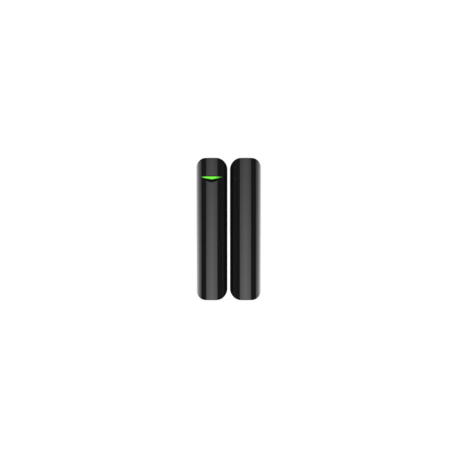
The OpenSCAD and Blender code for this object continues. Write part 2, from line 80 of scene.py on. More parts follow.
# The notch in the sensor's front and the window in it
GUIDE_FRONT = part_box("light_guide")[0].y
NOTCH_D = 3 * MM
NOTCH_Z = 33.2 * MM
NOTCH_ROUND = 0.12 * MM        # of the lower lip
NOTCH_ROUND_SHARE = 0.35       # and no more than this share of the notch's depth there
TOP_ROUND = 1.0 * MM           # of the upper lip
TOP_ROUND_SHARE = 0.4
WINDOW_Y = FRONT_Y + NOTCH_D
WINDOW_H = 1.45 * MM           # at its middle
WINDOW_RISE = 0.16             # slope of its lower edge, up to both ends
FACET_FALL = 0.74              # slope of the facet below it
LEDGE_RISE = 0.1               # slope of the ledge above it
WINDOW_TOP = NOTCH_D * LEDGE_RISE - 0.15 * MM
WINDOW_HALF = 6.28 * MM
WINDOW_GAP = 0.08 * MM
NOTCH_HALF = math.sqrt(BODY_R ** 2 - (BODY_R - NOTCH_D) ** 2)

# The thick block behind the notch
BLOCK_BACK = WINDOW_Y + 1.8 * MM
BLOCK_Z = (NOTCH_Z - 4.9 * MM, NOTCH_Z + 1.3 * MM)

BOARD_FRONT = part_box("circuit_board")[0].y
BOARD_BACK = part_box("circuit_board")[1].y


# ---- Mesh helpers --------------------------------------------------------------------------

def new_object(name, mesh):
    made = bpy.data.objects.new(name, mesh)
    scene.collection.objects.link(made)
    return made


def object_from_bmesh(name, bm):
    bmesh.ops.recalc_face_normals(bm, faces=bm.faces)
    mesh = bpy.data.meshes.new(name)
    bm.to_mesh(mesh)
    bm.free()
    return new_object(name, mesh)


def add_grid(bm, grid):
    """Quads between the points of a grid, given as rows of points."""
    rows = [[bm.verts.new(p) for p in row] for row in grid]
    for a, b in zip(rows, rows[1:]):
        for i in range(len(a) - 1):
            bm.faces.new((a[i], a[i + 1], b[i + 1], b[i]))


def skin(bm, rings):
    """Closed solid through rings of vertices: quads between them, and a face over each end."""
    for a, b in zip(rings, rings[1:]):
        for i in range(len(a)):
            j = (i + 1) % len(a)
            bm.faces.new((a[i], a[j], b[j], b[i]))
    bm.faces.new(rings[0])
    bm.faces.new(rings[-1])


def apply_boolean(target, tool, operation):
    """Combines tool into target and deletes tool."""
    modifier = target.modifiers.new("cut", "BOOLEAN")
    modifier.operation = operation
    modifier.solver = "EXACT"
    modifier.object = tool
    bpy.context.view_layer.update()
    evaluated = target.evaluated_get(bpy.context.evaluated_depsgraph_get())
    mesh = bpy.data.meshes.new_from_object(evaluated)
    target.modifiers.clear()
    target.data = mesh
    bpy.data.objects.remove(tool)


def y_cylinder(name, r, back, front, x, z, sides=48):
    """Solid cylinder along Y."""
    bm = bmesh.new()
    turn = Matrix.Rotation(math.pi / 2, 4, "X")
    place = Matrix.Translation((x, (back + front) / 2, z)) @ turn
    bmesh.ops.create_cone(bm, cap_ends=True, segments=sides, radius1=r, radius2=r,
                          depth=abs(back - front), matrix=place)
    return object_from_bmesh(name, bm)


def block(name, low, high):
    """Solid box between two corners."""
    bm = bmesh.new()
    size = Vector(high) - Vector(low)
    place = Matrix.Translation((Vector(low) + Vector(high)) / 2) @ Matrix.Diagonal((*size, 1))
    bmesh.ops.create_cube(bm, size=1, matrix=place)
    return object_from_bmesh(name, bm)


def smooth(obj, degrees=32):
    """Smooth shading, with edges sharper than that angle kept crisp."""
    mesh = obj.data
    mesh.shade_smooth()
    mesh.set_sharp_from_angle(angle=math.radians(degrees))


# ---- Casings -------------------------------------------------------------------------------

def bend(start, corner, end, steps=4):
    """Points of a rounded corner."""
    ts = [i / steps for i in range(steps + 1)]
    return [(1 - t) ** 2 * start + 2 * t * (1 - t) * corner + t ** 2 * end for t in ts]


def notch_profile(x):
    """Points (y, z) up one column of the front through the notch, from its lower lip to its upper lip."""
    inside = abs(x) < NOTCH_HALF - 1e-9
    surface = AXIS_Y - math.sqrt(BODY_R ** 2 - min(abs(x), BODY_R) ** 2)
    depth = WINDOW_Y - surface if inside else 0
    low_edge = NOTCH_Z - WINDOW_H + WINDOW_RISE * min(abs(x), NOTCH_HALF)
    lip = Vector((surface, low_edge - FACET_FALL * depth))
    floor_low = Vector((surface + depth, low_edge))
    floor_high = Vector((surface + depth, NOTCH_Z + LEDGE_RISE * depth))
    top_lip = Vector((surface, NOTCH_Z))
    r = min(NOTCH_ROUND, NOTCH_ROUND_SHARE * depth)
    top_r = min(TOP_ROUND, TOP_ROUND_SHARE * depth)
    up = Vector((0, 1))
    down_facet = (floor_low - lip).normalized() if inside else up
    inward = (floor_high - top_lip).normalized() if inside else -up
    return [
        *bend(lip - r * up, lip, lip + r * down_facet),
        (lip + floor_low) / 2 + (r / 2) * down_facet,
        floor_low,
        (floor_low + floor_high) / 2 if inside else floor_low,
        floor_high,
        (floor_high + top_lip) / 2 + (top_r / 2) * inward,
        *bend(top_lip + top_r * inward, top_lip, top_lip + top_r * up, 6),
    ]


def pod_columns(radius, half_l, corners, edge, steps, exact=()):
    """Columns across a pod's front: x, and the centre and outline normal of the edge rounding there."""
    angles = sorted({round(a, 9) for a in
                     [math.pi * (i / steps - 0.5) for i in range(steps + 1)]
                     + [s * math.asin(e / radius) for e in exact for s in (-1, 1)]})
    columns = []
    for a in angles:
        x = radius * math.sin(a)
        ball_x = x * (radius - edge) / radius
        corner = corners[x > 0]
        past = (abs(ball_x) - (radius - corner)) / (corner - edge)
        if past <= 0:
            normal = Vector((0, 1))
            ball_z = half_l - edge
        else:
            turn = math.acos(min(past, 1))
            normal = Vector((math.copysign(math.cos(turn), x), math.sin(turn)))
            ball_z = half_l - corner + (corner - edge) * math.sin(turn)
        columns.append((x, ball_x, ball_z, normal))
    return columns


def pod_solid(name, radius, half_l, corners, edge, back, rim=0.0, steps=96, notched=False, rows=14):
    """Closed pod with a rounded front, flat sides, rounded corners (left and right) and a rounded edge."""
    exact = [radius - corner for corner in corners] + [NOTCH_HALF] * notched
    bm = bmesh.new()
    rim_points = [(0, rim), (0.3 * rim, 0.3 * rim), (rim, 0)] if rim else [(0, 0)]
    grid = []
    sides = []
    for x, ball_x, ball_z, normal in pod_columns(radius, half_l, corners, edge, steps, exact):
        ball_y = AXIS_Y - math.sqrt(max((radius - edge) ** 2 - ball_x ** 2, 0))
        out = Vector((normal.x, 0, normal.y))
        front = Vector((ball_x, ball_y - AXIS_Y, 0)).normalized()
        ball = Vector((ball_x, ball_y, ball_z))
        wall_point = ball + edge * out
        end = [Vector((wall_point.x, back - d, wall_point.z)) - inset * out for d, inset in rim_points]
        for t in (0.25, 0.5, 0.75):
            end.append(Vector((wall_point.x, back - rim + t * (ball_y - back + rim), wall_point.z)))
        turn = out.angle(front, 0)
        for i in range(EDGE_STEPS + 1):
            t = i / EDGE_STEPS
            if turn > 1e-5:
                arm = (math.sin((1 - t) * turn) * out + math.sin(t * turn) * front) / math.sin(turn)
            else:
                arm = out
            end.append(ball + edge * arm)
        top = end[-1]
        low_end = [Vector((p.x, p.y, -p.z)) for p in end]
        notch, upper = [], []
        if notched:
            notch = [Vector((x, y, z)) for y, z in notch_profile(x)]
            last = notch[-1].z
            upper = [Vector((top.x, top.y, last + (top.z - last) * i / 3)) for i in (1, 2)]
        first = notch[0].z if notch else top.z
        lower = [Vector((top.x, top.y, -top.z + (first + top.z) * i / rows)) for i in range(1, rows)]
        middle = lower + notch + upper
        grid.append(low_end + middle + end[::-1])
        sides.append([low_end[-1]] + middle + [top])
    add_grid(bm, grid)
    for column, sign in ((sides[0], -1), (sides[-1], 1)):
        depth_points = [(back - d, inset) for d, inset in rim_points]
        depth_points += [(back - rim + t * (AXIS_Y - back + rim), 0) for t in (0.25, 0.5, 0.75, 1)]
        add_grid(bm, [[Vector((sign * (radius - inset), y, p.z)) for p in column]
                      for y, inset in depth_points])
    bmesh.ops.remove_doubles(bm, verts=bm.verts, dist=1e-7)
    bmesh.ops.dissolve_degenerate(bm, edges=bm.edges, dist=1e-8)
    edges = [e for e in bm.edges if e.is_boundary]
    bmesh.ops.contextual_create(bm, geom=edges)
    return object_from_bmesh(name, bm)


def window_prism():
    """Solid of the window's opening, through the block behind the notch."""
    half, side = WINDOW_HALF, WINDOW_H - WINDOW_RISE * WINDOW_HALF + WINDOW_GAP
    top = WINDOW_TOP + WINDOW_GAP
    outline = [(-half, top), (half, top), (half, -side), (0, -WINDOW_H - WINDOW_GAP), (-half, -side)]
    bm = bmesh.new()
    rings = [[bm.verts.new((x, y, NOTCH_Z + z)) for x, z in outline]
             for y in (WINDOW_Y - CUT_REACH / 2, BLOCK_BACK + CUT_REACH)]
    skin(bm, rings)
    return object_from_bmesh("window", bm)


def casing(name, notched, screws, x, corners):
    """Open-backed shell at x, with its screw bosses, and with the notch and its window if notched."""
    shell = pod_solid(name, BODY_R, HALF_L, corners, EDGE_R, BACK_Y, RIM_ROUND, notched=notched)
    cavity = pod_solid("cavity", BODY_R - WALL, HALF_L - END_WALL, [CORNER_R - WALL] * 2, CAVITY_EDGE_R,
                       BACK_Y + CUT_REACH, steps=60, rows=6)
    if notched:
        low = (-BODY_R, FRONT_Y - CUT_REACH, BLOCK_Z[0])
        apply_boolean(cavity, block("block", low, (BODY_R, BLOCK_BACK, BLOCK_Z[1])), "DIFFERENCE")
    apply_boolean(shell, cavity, "DIFFERENCE")
    for z in screws:
        boss = y_cylinder("boss", BOSS_R, BOSS_BACK, BOSS_FRONT, 0, z)
        apply_boolean(shell, boss, "UNION")
        bore = y_cylinder("bore", BOSS_BORE_R, BOSS_BACK + CUT_REACH, BOSS_BORE_FRONT, 0, z)
        apply_boolean(shell, bore, "DIFFERENCE")
    if notched:
        apply_boolean(shell, window_prism(), "DIFFERENCE")
    shell.data.transform(Matrix.Translation((x, 0, 0)))
    smooth(shell)
    return shell


sensor_shell = casing("sensor_shell", True, SENSOR_SCREWS, 0, (OUTER_CORNER_R, CORNER_R))
magnet_shell = casing("magnet_shell", False, MAGNET_SCREWS, MAGNET_X, (CORNER_R, OUTER_CORNER_R))
for shell, node in ((sensor_shell, "sensor_casing"), (magnet_shell, "magnet_casing")):
    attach(shell, node)
    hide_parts(node)
    shade = shell.modifiers.new("shade", "WEIGHTED_NORMAL")
    shade.weight = 100
    shade.keep_sharp = True


# ---- Materials -----------------------------------------------------------------------------

class Tree:
    """A node tree, with short calls to add and join its nodes."""

    def __init__(self, tree):
        self.tree = tree

    def add(self, kind, inputs=None, **settings):
        """New node with its settings, and its inputs set to values or joined to other nodes' outputs."""
        made = self.tree.nodes.new("ShaderNode" + kind)
        for key, value in settings.items():
            setattr(made, key, value)
        for key, value in (inputs or {}).items():
            if isinstance(value, bpy.types.NodeSocket):
                self.tree.links.new(value, made.inputs[key])
            else:
                made.inputs[key].default_value = value
        return made

    def calc(self, operation, *values):
        return self.add("Math", dict(enumerate(values)), operation=operation).outputs["Value"]

    def ramp(self, value, start, end, low, high):
        """Smooth change from low at start to high at end."""
        return self.add("MapRange", {"Value": value, "From Min": start, "From Max": end, "To Min": low,
                                     "To Max": high}, interpolation_type="SMOOTHSTEP").outputs["Result"]


class Look(Tree):
    """A material's node tree, round its main shader."""

    def __init__(self, name):
        self.material = bpy.data.materials.new(name)
        self.material.use_nodes = True
        super().__init__(self.material.node_tree)
        self.shader = self.tree.nodes["Principled BSDF"]

    def set(self, **values):
        """Sets the shader's own sockets, named with _ for each space."""
        for key, value in values.items():
            self.shader.inputs[key.replace("_", " ")].default_value = value
        return self

    def link(self, output, socket):
        self.tree.links.new(output, self.shader.inputs[socket])

    def place(self, scale=None):
        """Position on the piece, in metres, stretched by scale."""
        where = self.add("TexCoord").outputs["Object"]
        if scale:
            where = self.add("Mapping", {"Vector": where, "Scale": scale}).outputs["Vector"]
        return where

    def axes(self):
        """Position on the piece as separate x, y and z."""
        return self.add("SeparateXYZ", {"Vector": self.place()}).outputs

    def noise(self, scale, detail=4, rough=0.5, stretch=None):
        return self.add("TexNoise", {"Vector": self.place(stretch), "Scale": scale, "Detail": detail,
                                     "Roughness": rough}).outputs["Fac"]

    def cells(self, scale):
        """Distance to the nearest of many scattered points, as in foam."""
        texture = self.add("TexVoronoi", {"Vector": self.place(), "Scale": scale}, feature="F1")
        return texture.outputs["Distance"]

    def spread(self, value, low, high, start=0.0, end=1.0):
        """Maps start..end to low..high."""
        return self.add("MapRange", {"Value": value, "From Min": start, "From Max": end,
                                     "To Min": low, "To Max": high}).outputs["Result"]

    def fade(self, value, start, end, low):
        """Smooth change from 1 at start to low at end."""
        return self.ramp(value, start, end, 1.0, low)

    def between(self, value, low, high):
        """1 where value is between low and high, else 0."""
        above = self.calc("GREATER_THAN", value, low)
        return self.calc("MULTIPLY", above, self.calc("LESS_THAN", value, high))

    def tint(self, value, dark, light, low=0.35, high=0.65):
        """Colour between dark and light, as value goes from low to high."""
        ramp = self.add("ValToRGB", {"Fac": value})
        ramp.color_ramp.elements[0].position = low
        ramp.color_ramp.elements[1].position = high
        ramp.color_ramp.elements[0].color = (*dark, 1)
        ramp.color_ramp.elements[1].color = (*light, 1)
        return ramp.outputs["Color"]

    def mix(self, share, a, b):
        """Colour b over colour a, by share."""
        a, b = (c if isinstance(c, bpy.types.NodeSocket) else (*c, 1) for c in (a, b))
        return self.add("Mix", {0: share, 6: a, 7: b}, data_type="RGBA").outputs[2]

    def edges(self, radius):
        """1 on edges and corners within radius, broken up by noise, and 0 on open faces."""
        rounded = self.add("Bevel", {"Radius": radius}, samples=4).outputs["Normal"]
        plain = self.add("NewGeometry").outputs["Normal"]
        turn = self.add("VectorMath", {0: rounded, 1: plain}, operation="DOT_PRODUCT").outputs["Value"]
        patchy = self.spread(self.noise(1600, 3), 0.0, 1.0, 0.35, 0.6)
        return self.calc("MULTIPLY", self.spread(turn, 1.0, 0.0, 0.86, 0.985), patchy)

    def bump(self, height, distance, strength=1.0):
        made = self.add("Bump", {"Height": height, "Distance": distance, "Strength": strength})
        self.link(made.outputs["Normal"], "Normal")


def gloss_black():
    """Polished black plastic with the faint waviness of a moulding."""
    m = Look("gloss_black_plastic")
    m.set(IOR=1.5)
    m.link(m.tint(m.noise(900, 3), (0.0085, 0.0085, 0.0095), (0.0115, 0.0115, 0.0125)), "Base Color")
    m.link(m.spread(m.noise(260, 5), 0.045, 0.085), "Roughness")
    m.bump(m.noise(3500, 2), 0.0004 * MM, 0.25)
    return m


def lit_guide():
    """Clear green moulding, lit in its window and dying away towards its ends and the LED."""
    m = Look("lit_light_guide")
    m.set(Roughness=0.4, IOR=1.49, Specular_IOR_Level=0.3)
    x, y, _ = m.axes()
    ends = m.calc("MULTIPLY", m.fade(x, 1.5 * MM, 6.4 * MM, 0.04), m.fade(x, -3.2 * MM, -6.6 * MM, 0.38))
    deep = m.fade(y, GUIDE_FRONT + 0.3 * MM, GUIDE_FRONT + 3 * MM, 0.12)
    cloud = m.spread(m.noise(420, 3), 0.94, 1.06)
    m.link(m.calc("MULTIPLY", m.calc("MULTIPLY", ends, deep), cloud), "Emission Strength")
    m.shader.inputs["Emission Color"].default_value = (0.165, 0.9, 0.045, 1)
    m.link(m.tint(m.noise(500, 3), (0.03, 0.17, 0.02), (0.045, 0.22, 0.03)), "Base Color")
    return m


def plastic(name, dark, light, rough=(0.42, 0.56), grain=5200, depth=0.012, worn=None, **values):
    """Moulded plastic with a fine sparked grain of the given depth, in mm, and rubbed edges."""
    m = Look(name).set(**values)
    colour = m.tint(m.noise(420, 5, 0.6), dark, light)
    if worn:
        colour = m.mix(m.edges(0.12 * MM), colour, worn)
    m.link(colour, "Base Color")
    m.link(m.spread(m.noise(1500, 4, 0.65), *rough), "Roughness")
    m.bump(m.noise(grain, 2, 0.7), depth * MM, 0.35)
    return m


def metal(name, dark, light, rough=(0.2, 0.36), stretch=None, scale=900, depth=0.002, worn=None, **values):
    """Bare or plated metal with smudges, and drawn or brushed lines along the axis that stretch squeezes."""
    m = Look(name).set(Metallic=1.0, **values)
    colour = m.tint(m.noise(380, 5, 0.6), dark, light)
    if worn:
        colour = m.mix(m.edges(0.1 * MM), colour, worn)
    m.link(colour, "Base Color")
    lines = m.noise(scale, 5, 0.7, stretch)
    m.link(m.spread(lines, *rough, 0.25, 0.75), "Roughness")
    m.bump(lines, depth * MM, 0.3)
    return m


def foam(name, dark, light, cell, depth):
    """Closed-cell foam with cells of the given size and depth, in mm, and painted shade in each cell's hollow.
    """
    m = Look(name).set(IOR=1.45, Specular_IOR_Level=0.25)
    big, small = m.cells(1000 / cell), m.cells(2300 / cell)
    height = m.calc("ADD", big, m.calc("MULTIPLY", small, 0.5))
    # Colour darkens where the bump's height is low, in each cell's hollow: painted shade, with random tone
    # over it
    m.link(m.tint(m.calc("MULTIPLY", height, m.spread(m.noise(300, 4), 0.75, 1.25)), dark, light, 0.1, 0.9),
           "Base Color")
    m.link(m.spread(m.noise(900, 3), 0.75, 0.92), "Roughness")
    m.bump(height, depth * MM, 0.7)
    return m


def board_look():
    """Green solder mask, with the laminate's weave faint in it, and bare laminate at the cut edge."""
    m = Look("solder_mask").set(IOR=1.5, Coat_Weight=0.4, Coat_Roughness=0.12)
    mask = m.tint(m.noise(260, 5, 0.6), (0.006, 0.055, 0.026), (0.011, 0.085, 0.038))
    x, y, z = m.axes()
    threads = 9.0 / MM
    weave = m.calc("MULTIPLY", *(m.calc("SINE", m.calc("MULTIPLY", along, threads)) for along in (x, z)))
    skin_depth = 0.05 * MM
    inside = m.between(y, BOARD_FRONT + skin_depth, BOARD_BACK - skin_depth)
    laminate = m.tint(m.noise(2600, 3), (0.2, 0.22, 0.09), (0.36, 0.37, 0.18))
    m.link(m.mix(inside, mask, laminate), "Base Color")
    m.link(m.spread(m.noise(700, 4), 0.28, 0.42), "Roughness")
    m.bump(m.calc("ADD", weave, m.noise(1800, 3)), 0.004 * MM, 0.3)
    return m


def printed_label():
    """Satin film with a plain ruled frame and blank fields."""
    m = Look("printed_label").set(IOR=1.5)
    x, _, z = m.axes()
    low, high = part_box("id_label")
    film = m.tint(m.noise(500, 4), (0.6, 0.6, 0.585), (0.68, 0.68, 0.665))
    middle = (low.x + high.x) / 2
    aside = m.calc("ABSOLUTE", m.calc("SUBTRACT", x, middle))
    half = (high.x - low.x) / 2
    inset, rule, field = 0.7 * MM, 0.12 * MM, 7 * MM
    frame_line = m.between(aside, half - inset - rule, half - inset)
    for z_line in (low.z + inset, high.z - inset - rule, low.z + field, low.z + 2 * field):
        frame_line = m.calc("MAXIMUM", frame_line, m.between(z, z_line, z_line + rule))
    within = m.calc("MULTIPLY", m.calc("LESS_THAN", aside, half - inset),
                    m.between(z, low.z + inset, high.z - inset))
    m.link(m.mix(m.calc("MULTIPLY", frame_line, within), film, (0.09, 0.1, 0.11)), "Base Color")
    m.link(m.spread(m.noise(1400, 3), 0.34, 0.48), "Roughness")
    m.bump(m.noise(2400, 3), 0.004 * MM, 0.25)
    return m


def shrink_sleeve():
    """Blue shrunk film with a silver band by the positive end and creases where it turns in."""
    m = Look("shrink_sleeve").set(IOR=1.52, Coat_Weight=0.5, Coat_Roughness=0.08)
    low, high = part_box("cell_sleeve")
    _, _, z = m.axes()
    film = m.tint(m.noise(300, 4), (0.016, 0.045, 0.13), (0.022, 0.062, 0.17))
    band = m.between(z, high.z - 5.2 * MM, high.z - 3.9 * MM)
    thin = m.between(z, high.z - 6.3 * MM, high.z - 6.0 * MM)
    m.link(m.mix(m.calc("MAXIMUM", band, thin), film, (0.62, 0.63, 0.64)), "Base Color")
    m.link(m.spread(m.noise(500, 5), 0.2, 0.36), "Roughness")
    turn_in = 1.6 * MM
    ends = m.calc("MAXIMUM", m.fade(z, low.z, low.z + turn_in, 0.0), m.fade(z, high.z, high.z - turn_in, 0.0))
    creases = m.noise(900, 2, 0.5, (1, 1, 0.08))
    m.bump(m.calc("ADD", m.calc("MULTIPLY", creases, ends), m.calc("MULTIPLY", m.noise(240, 3), 0.4)),
           0.06 * MM, 0.5)
    return m


def tantalum_look():
    """Moulded orange body with a brown stripe at its positive end."""
    m = Look("tantalum_body").set(IOR=1.5)
    _, _, z = m.axes()
    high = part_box("tantalum_capacitor")[1]
    body = m.tint(m.noise(900, 4), (0.52, 0.22, 0.03), (0.62, 0.29, 0.05))
    m.link(m.mix(m.between(z, high.z - 0.75 * MM, high.z - 0.3 * MM), body, (0.1, 0.03, 0.008)), "Base Color")
    m.link(m.spread(m.noise(1500, 3), 0.4, 0.55), "Roughness")
    m.bump(m.noise(5200, 2), 0.008 * MM, 0.35)
    return m


def glass():
    """Pale green glass tube, slightly uneven from its drawing."""
    m = Look("reed_glass").set(IOR=1.5, Transmission_Weight=1.0)
    m.link(m.tint(m.noise(350, 3), (0.62, 0.84, 0.74), (0.72, 0.9, 0.82)), "Base Color")
    m.link(m.spread(m.noise(700, 4), 0.01, 0.07), "Roughness")
    m.bump(m.noise(500, 3), 0.01 * MM, 0.2)
    return m


# The look of each material slot
looks = {
    "casing_plastic": gloss_black(),
    "light_guide": lit_guide(),
    "bracket_plastic": plastic("bracket_black", (0.009, 0.009, 0.01), (0.015, 0.015, 0.016), (0.46, 0.62),
                               3600, 0.02, worn=(0.045, 0.045, 0.047), Specular_IOR_Level=0.3),
    "base_plastic": plastic("base_black", (0.014, 0.014, 0.0155), (0.021, 0.021, 0.023), (0.34, 0.48),
                            depth=0.01, worn=(0.055, 0.055, 0.058)),
    "foam_tape": foam("tape_foam", (0.2, 0.2, 0.19), (0.34, 0.34, 0.325), 0.16, 0.02),
    "screw_steel": metal("zinc_plate", (0.3, 0.31, 0.33), (0.46, 0.47, 0.49), (0.28, 0.46), scale=2600,
                         worn=(0.6, 0.6, 0.6)),
    "label": printed_label(),
    "board": board_look(),
    "tinned_steel": metal("tinned_steel", (0.34, 0.35, 0.355), (0.5, 0.51, 0.51), (0.28, 0.48), (1, 1, 0.06),
                          scale=1500, worn=(0.62, 0.62, 0.6)),
    "chip": plastic("moulded_chip", (0.012, 0.012, 0.013), (0.02, 0.02, 0.021), (0.42, 0.58), 6500, 0.008),
    "ceramic": plastic("fired_ceramic", (0.27, 0.17, 0.09), (0.38, 0.26, 0.15), (0.3, 0.45), 3800, 0.008),
    "tantalum": tantalum_look(),
    "copper": metal("enamelled_copper", (0.52, 0.2, 0.075), (0.7, 0.3, 0.12), (0.18, 0.32), (0.3, 0.3, 1),
                    scale=2200, Coat_Weight=0.6, Coat_Roughness=0.1),
    "led": plastic("led_package", (0.62, 0.66, 0.56), (0.74, 0.77, 0.68), (0.12, 0.26), 3000, 0.004,
                   Transmission_Weight=0.25),
    "reed_glass": glass(),
    "reed_metal": metal("nickel_iron", (0.5, 0.49, 0.46), (0.62, 0.61, 0.58), (0.2, 0.36), (1, 1, 0.05),
                        2600),
    "switch_plastic": plastic("switch_black", (0.014, 0.014, 0.016), (0.022, 0.022, 0.024), (0.3, 0.46),
                              5000, 0.008, worn=(0.06, 0.06, 0.062)),
    "spring_steel": metal("spring_steel", (0.4, 0.4, 0.41), (0.55, 0.55, 0.56), (0.18, 0.34), (1, 1, 0.3),
                          2400),
    "plunger_plastic": plastic("acetal_white", (0.62, 0.61, 0.57), (0.7, 0.69, 0.65), (0.28, 0.42), 4200,
                               0.006, worn=(0.78, 0.77, 0.74), Subsurface_Weight=0.15,
                               Subsurface_Scale=0.6 * MM),
    "button_plastic": plastic("button_grey", (0.035, 0.036, 0.039), (0.052, 0.053, 0.057), (0.26, 0.4),
                              4600, 0.008, worn=(0.11, 0.11, 0.115)),
    "contact_metal": metal("nickel_plate", (0.42, 0.395, 0.34), (0.58, 0.55, 0.48), (0.2, 0.36), (1, 0.05, 1),
                           scale=1600, worn=(0.5, 0.36, 0.18)),
    "lead_insulation": plastic("soft_vinyl", (0.012, 0.012, 0.014), (0.022, 0.022, 0.024), (0.36, 0.5),
                               2600, 0.01, Sheen_Weight=0.15),
    "cell_metal": metal("cell_can_steel", (0.4, 0.4, 0.395), (0.56, 0.56, 0.545), (0.18, 0.38),
                        (1, 1, 0.4), 1300, worn=(0.66, 0.66, 0.65)),
    "cell_sleeve": shrink_sleeve(),
    "cell_seal": plastic("seal_red", (0.25, 0.018, 0.012), (0.34, 0.028, 0.018), (0.35, 0.5), 3000, 0.008),
    "magnet_nickel": metal("magnet_nickel", (0.36, 0.35, 0.325), (0.5, 0.485, 0.455), (0.16, 0.34), scale=700,
                           worn=(0.62, 0.61, 0.58)),
    "foam_pad": foam("pad_foam", (0.02, 0.021, 0.023), (0.075, 0.077, 0.082), 0.32, 0.06),
}
MATERIALS = {slot: look.material for slot, look in looks.items()}

for shell in (sensor_shell, magnet_shell):
    shell.data.materials.append(MATERIALS["casing_plastic"])

# Broken edges on the carried-over parts, in mm; wires and round glass keep their own shape
EDGE_BREAKS = {
    "sensor_bracket": 0.16, "magnet_bracket": 0.16, "sensor_base": 0.1, "magnet_base": 0.1,
    "sensor_housing_screws": 0.06, "magnet_housing_screws": 0.06, "circuit_board": 0.05, "radio_shield": 0.14,
    "microcontroller": 0.05, "crystal": 0.12, "ceramic_parts": 0.05, "tantalum_capacitor": 0.09,
    "status_led": 0.09, "tamper_switch_body": 0.09, "tamper_plunger": 0.1, "power_switch_body": 0.09,
    "power_button": 0.12, "positive_contact": 0.05, "negative_contact": 0.05, "cell_can": 0.25,
    "cell_seal_ring": 0.05, "cell_sleeve": 0.05, "bar_magnet": 0.45, "magnet_clip": 0.09, "light_guide": 0.04,
}
ROUND_NODES = ("reed_glass_tubes", "reed_fixed_leads", "antenna_coil", "tamper_spring", "negative_spring",
               "negative_lead")

WELD_DISTANCE = 0.001 * MM


def break_edges(obj, width):
    """Clears the lines on flat faces and bevels the sharp edges."""
    flat = obj.modifiers.new("flat", "DECIMATE")
    flat.decimate_type = "DISSOLVE"
    flat.angle_limit = math.radians(1)
    edge = obj.modifiers.new("edge", "BEVEL")
    edge.width = width
    edge.segments = 2
    edge.limit_method = "ANGLE"
    edge.angle_limit = math.radians(35)
    obj.modifiers.new("shade", "WEIGHTED_NORMAL").weight = 100


for name, obj in nodes.items():
    slot = obj.data.materials[0].name.split(".")[0]
    obj.material_slots[0].material = MATERIALS[slot]
    if name in EDGE_BREAKS or name in ROUND_NODES:
        obj.modifiers.new("join", "WELD").merge_threshold = WELD_DISTANCE
    if name in EDGE_BREAKS:
        break_edges(obj, EDGE_BREAKS[name] * MM)
    elif name in ROUND_NODES:
        obj.modifiers.new("shade", "WEIGHTED_NORMAL")


# ---- Soft pads -----------------------------------------------------------------------------

def solids(node):
    """Lowest and highest corner of each separate solid of a CAD node, from the lowest up."""
    bm = bmesh.new()
    bm.from_mesh(nodes[node].data)
    bmesh.ops.remove_doubles(bm, verts=bm.verts, dist=WELD_DISTANCE)
    bm.verts.ensure_lookup_table()
    left, found = set(bm.verts), []
    while left:
        front = [left.pop()]
        island = list(front)
        while front:
            for edge in front.pop().link_edges:
                for v in edge.verts:
                    if v in left:
                        left.discard(v)
                        front.append(v)
                        island.append(v)
        points = [v.co for v in island]
        found.append((Vector([min(p[i] for p in points) for i in range(3)]),
                      Vector([max(p[i] for p in points) for i in range(3)])))
    bm.free()
    return sorted(found, key=lambda corners: (round(corners[0].z, 6), round(corners[0].x, 6)))


def rounded_outline(half_x, half_z, r, y, steps=6):
    """Points round a rounded rectangle at one depth."""
    r = max(min(r, half_x * 0.95, half_z * 0.95), 0.02 * MM)
    points = []
    for quarter, (sx, sz) in enumerate(((1, 1), (-1, 1), (-1, -1), (1, -1))):
        for i in range(steps + 1):
            a = (quarter + i / steps) * math.pi / 2
            x, z = sx * (half_x - r) + r * math.cos(a), sz * (half_z - r) + r * math.sin(a)
            points.append(Vector((x, y, z)))
    return points


def add_pad(bm, low, high, corner, bulge, rounding, crown):
    """Foam pad that fills its box, with crowned faces, rounded edges and sides that swell between them."""
    middle = (low + high) / 2
    half_x, half_z = (high.x - low.x) / 2, (high.z - low.z) / 2
    thick = (high.y - low.y) / 2
    small = min(half_x, half_z)
    face = [(small * t, thick - crown * (1 - t) ** 2) for t in (0.9, 0.6, 0.35, 0.18)]
    edge = [(bulge + rounding * (1 - math.sin(a)), thick - crown - rounding * (1 - math.cos(a)))
            for a in (math.radians(d) for d in (15, 40, 65, 90))]
    side = [(bulge * t * t, (thick - crown - rounding) * t) for t in (0.75, 0.5, 0.25)]
    top = face + edge + side
    profile = [(inset, -y) for inset, y in top] + [(0, 0)] + [(inset, y) for inset, y in reversed(top)]
    skin(bm, [[bm.verts.new(p + middle) for p in
               rounded_outline(half_x - inset, half_z - inset, corner - inset, y)] for inset, y in profile])


def finish_piece(name, bm, body, slot, look=None, replaces=None):
    """Makes a piece of bm on its body, with a look of its own or its slot's."""
    piece = object_from_bmesh(name, bm)
    smooth(piece, degrees=40)
    piece.data.materials.append(look.material if look else MATERIALS[slot])
    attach(piece, body)
    if replaces:
        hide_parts(replaces)
    return piece


for pod in ("sensor", "magnet"):
    bm = bmesh.new()
    for low, high in solids(pod + "_tape_pads"):
        add_pad(bm, low, high, corner=0.5 * MM, bulge=0.06 * MM, rounding=0.06 * MM, crown=0.02 * MM)
    tape = finish_piece(pod + "_tape", bm, pod + "_bracket", "foam_tape", replaces=pod + "_tape_pads")

bm = bmesh.new()
add_pad(bm, *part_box("magnet_foam_pad"), corner=0.7 * MM, bulge=0.16 * MM, rounding=0.3 * MM, crown=0.14 * MM)
foam_block = finish_piece("magnet_foam", bm, "magnet_base", "foam_pad", replaces="magnet_foam_pad")


# ---- Joints, tracks and marks on the circuit board -----------------------------------------

SINK = 0.02 * MM               # how far a joint reaches into the face that it stands on
ROOT_FRONT = BOARD_FRONT + SINK
ROOT_BACK = BOARD_BACK - SINK


